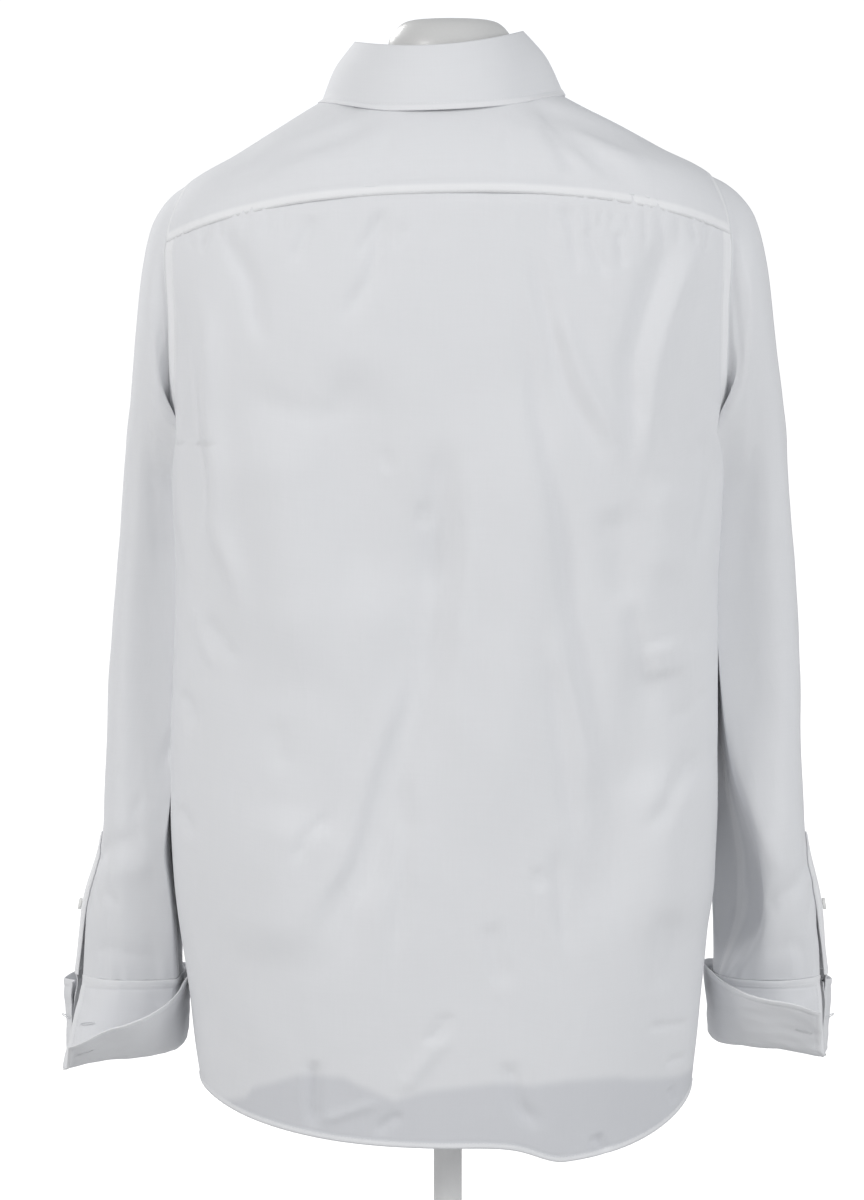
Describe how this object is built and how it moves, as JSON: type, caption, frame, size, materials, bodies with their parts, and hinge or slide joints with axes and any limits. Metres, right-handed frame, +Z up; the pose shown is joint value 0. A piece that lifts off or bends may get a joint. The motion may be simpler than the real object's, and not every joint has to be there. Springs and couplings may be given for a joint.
{
  "type": "long sleeve dress shirt on a dress form",
  "caption": "Long sleeve dress shirt with a turned-down collar, back yoke, curved hem and folded double cuffs, filled out on a limbless dress form with a pole and a round base.",
  "frame": {"origin": "centre of the base's underside, on the floor under the middle of the part", "axes": "+Z up, the shirt's front faces -Y and its back faces +Y, +X is the wearer's left"},
  "size_m": [0.6004, 0.31, 1.135],
  "materials": {
    "cotton_poplin": "matt, plain weave",
    "faced_cotton": "matt, firm double layer",
    "button_resin": "polished, pearly white",
    "form_jersey": "matt, fine knit",
    "cap_lacquer": "satin",
    "painted_steel": "satin"
  },
  "bodies": {
    "root": {"back": "cotton_poplin", "front_left": "cotton_poplin", "front_right": "cotton_poplin", "yoke": "cotton_poplin", "sleeve_left": "cotton_poplin", "sleeve_right": "cotton_poplin", "placket_left": "cotton_poplin", "placket_right": "cotton_poplin", "collar_stand": "faced_cotton", "collar_leaf": "faced_cotton", "cuff_left": "faced_cotton", "cuff_right": "faced_cotton", "button_collar": "button_resin", "button_placket_left": "button_resin", "button_placket_right": "button_resin", "form_torso": "form_jersey", "form_neck_cap": "cap_lacquer", "stand_pole": "painted_steel", "stand_base": "painted_steel", "button_front_1": "button_resin", "button_front_2": "button_resin", "button_front_3": "button_resin", "button_front_4": "button_resin", "button_front_5": "button_resin", "button_front_6": "button_resin"}
  },
  "joints": []
}
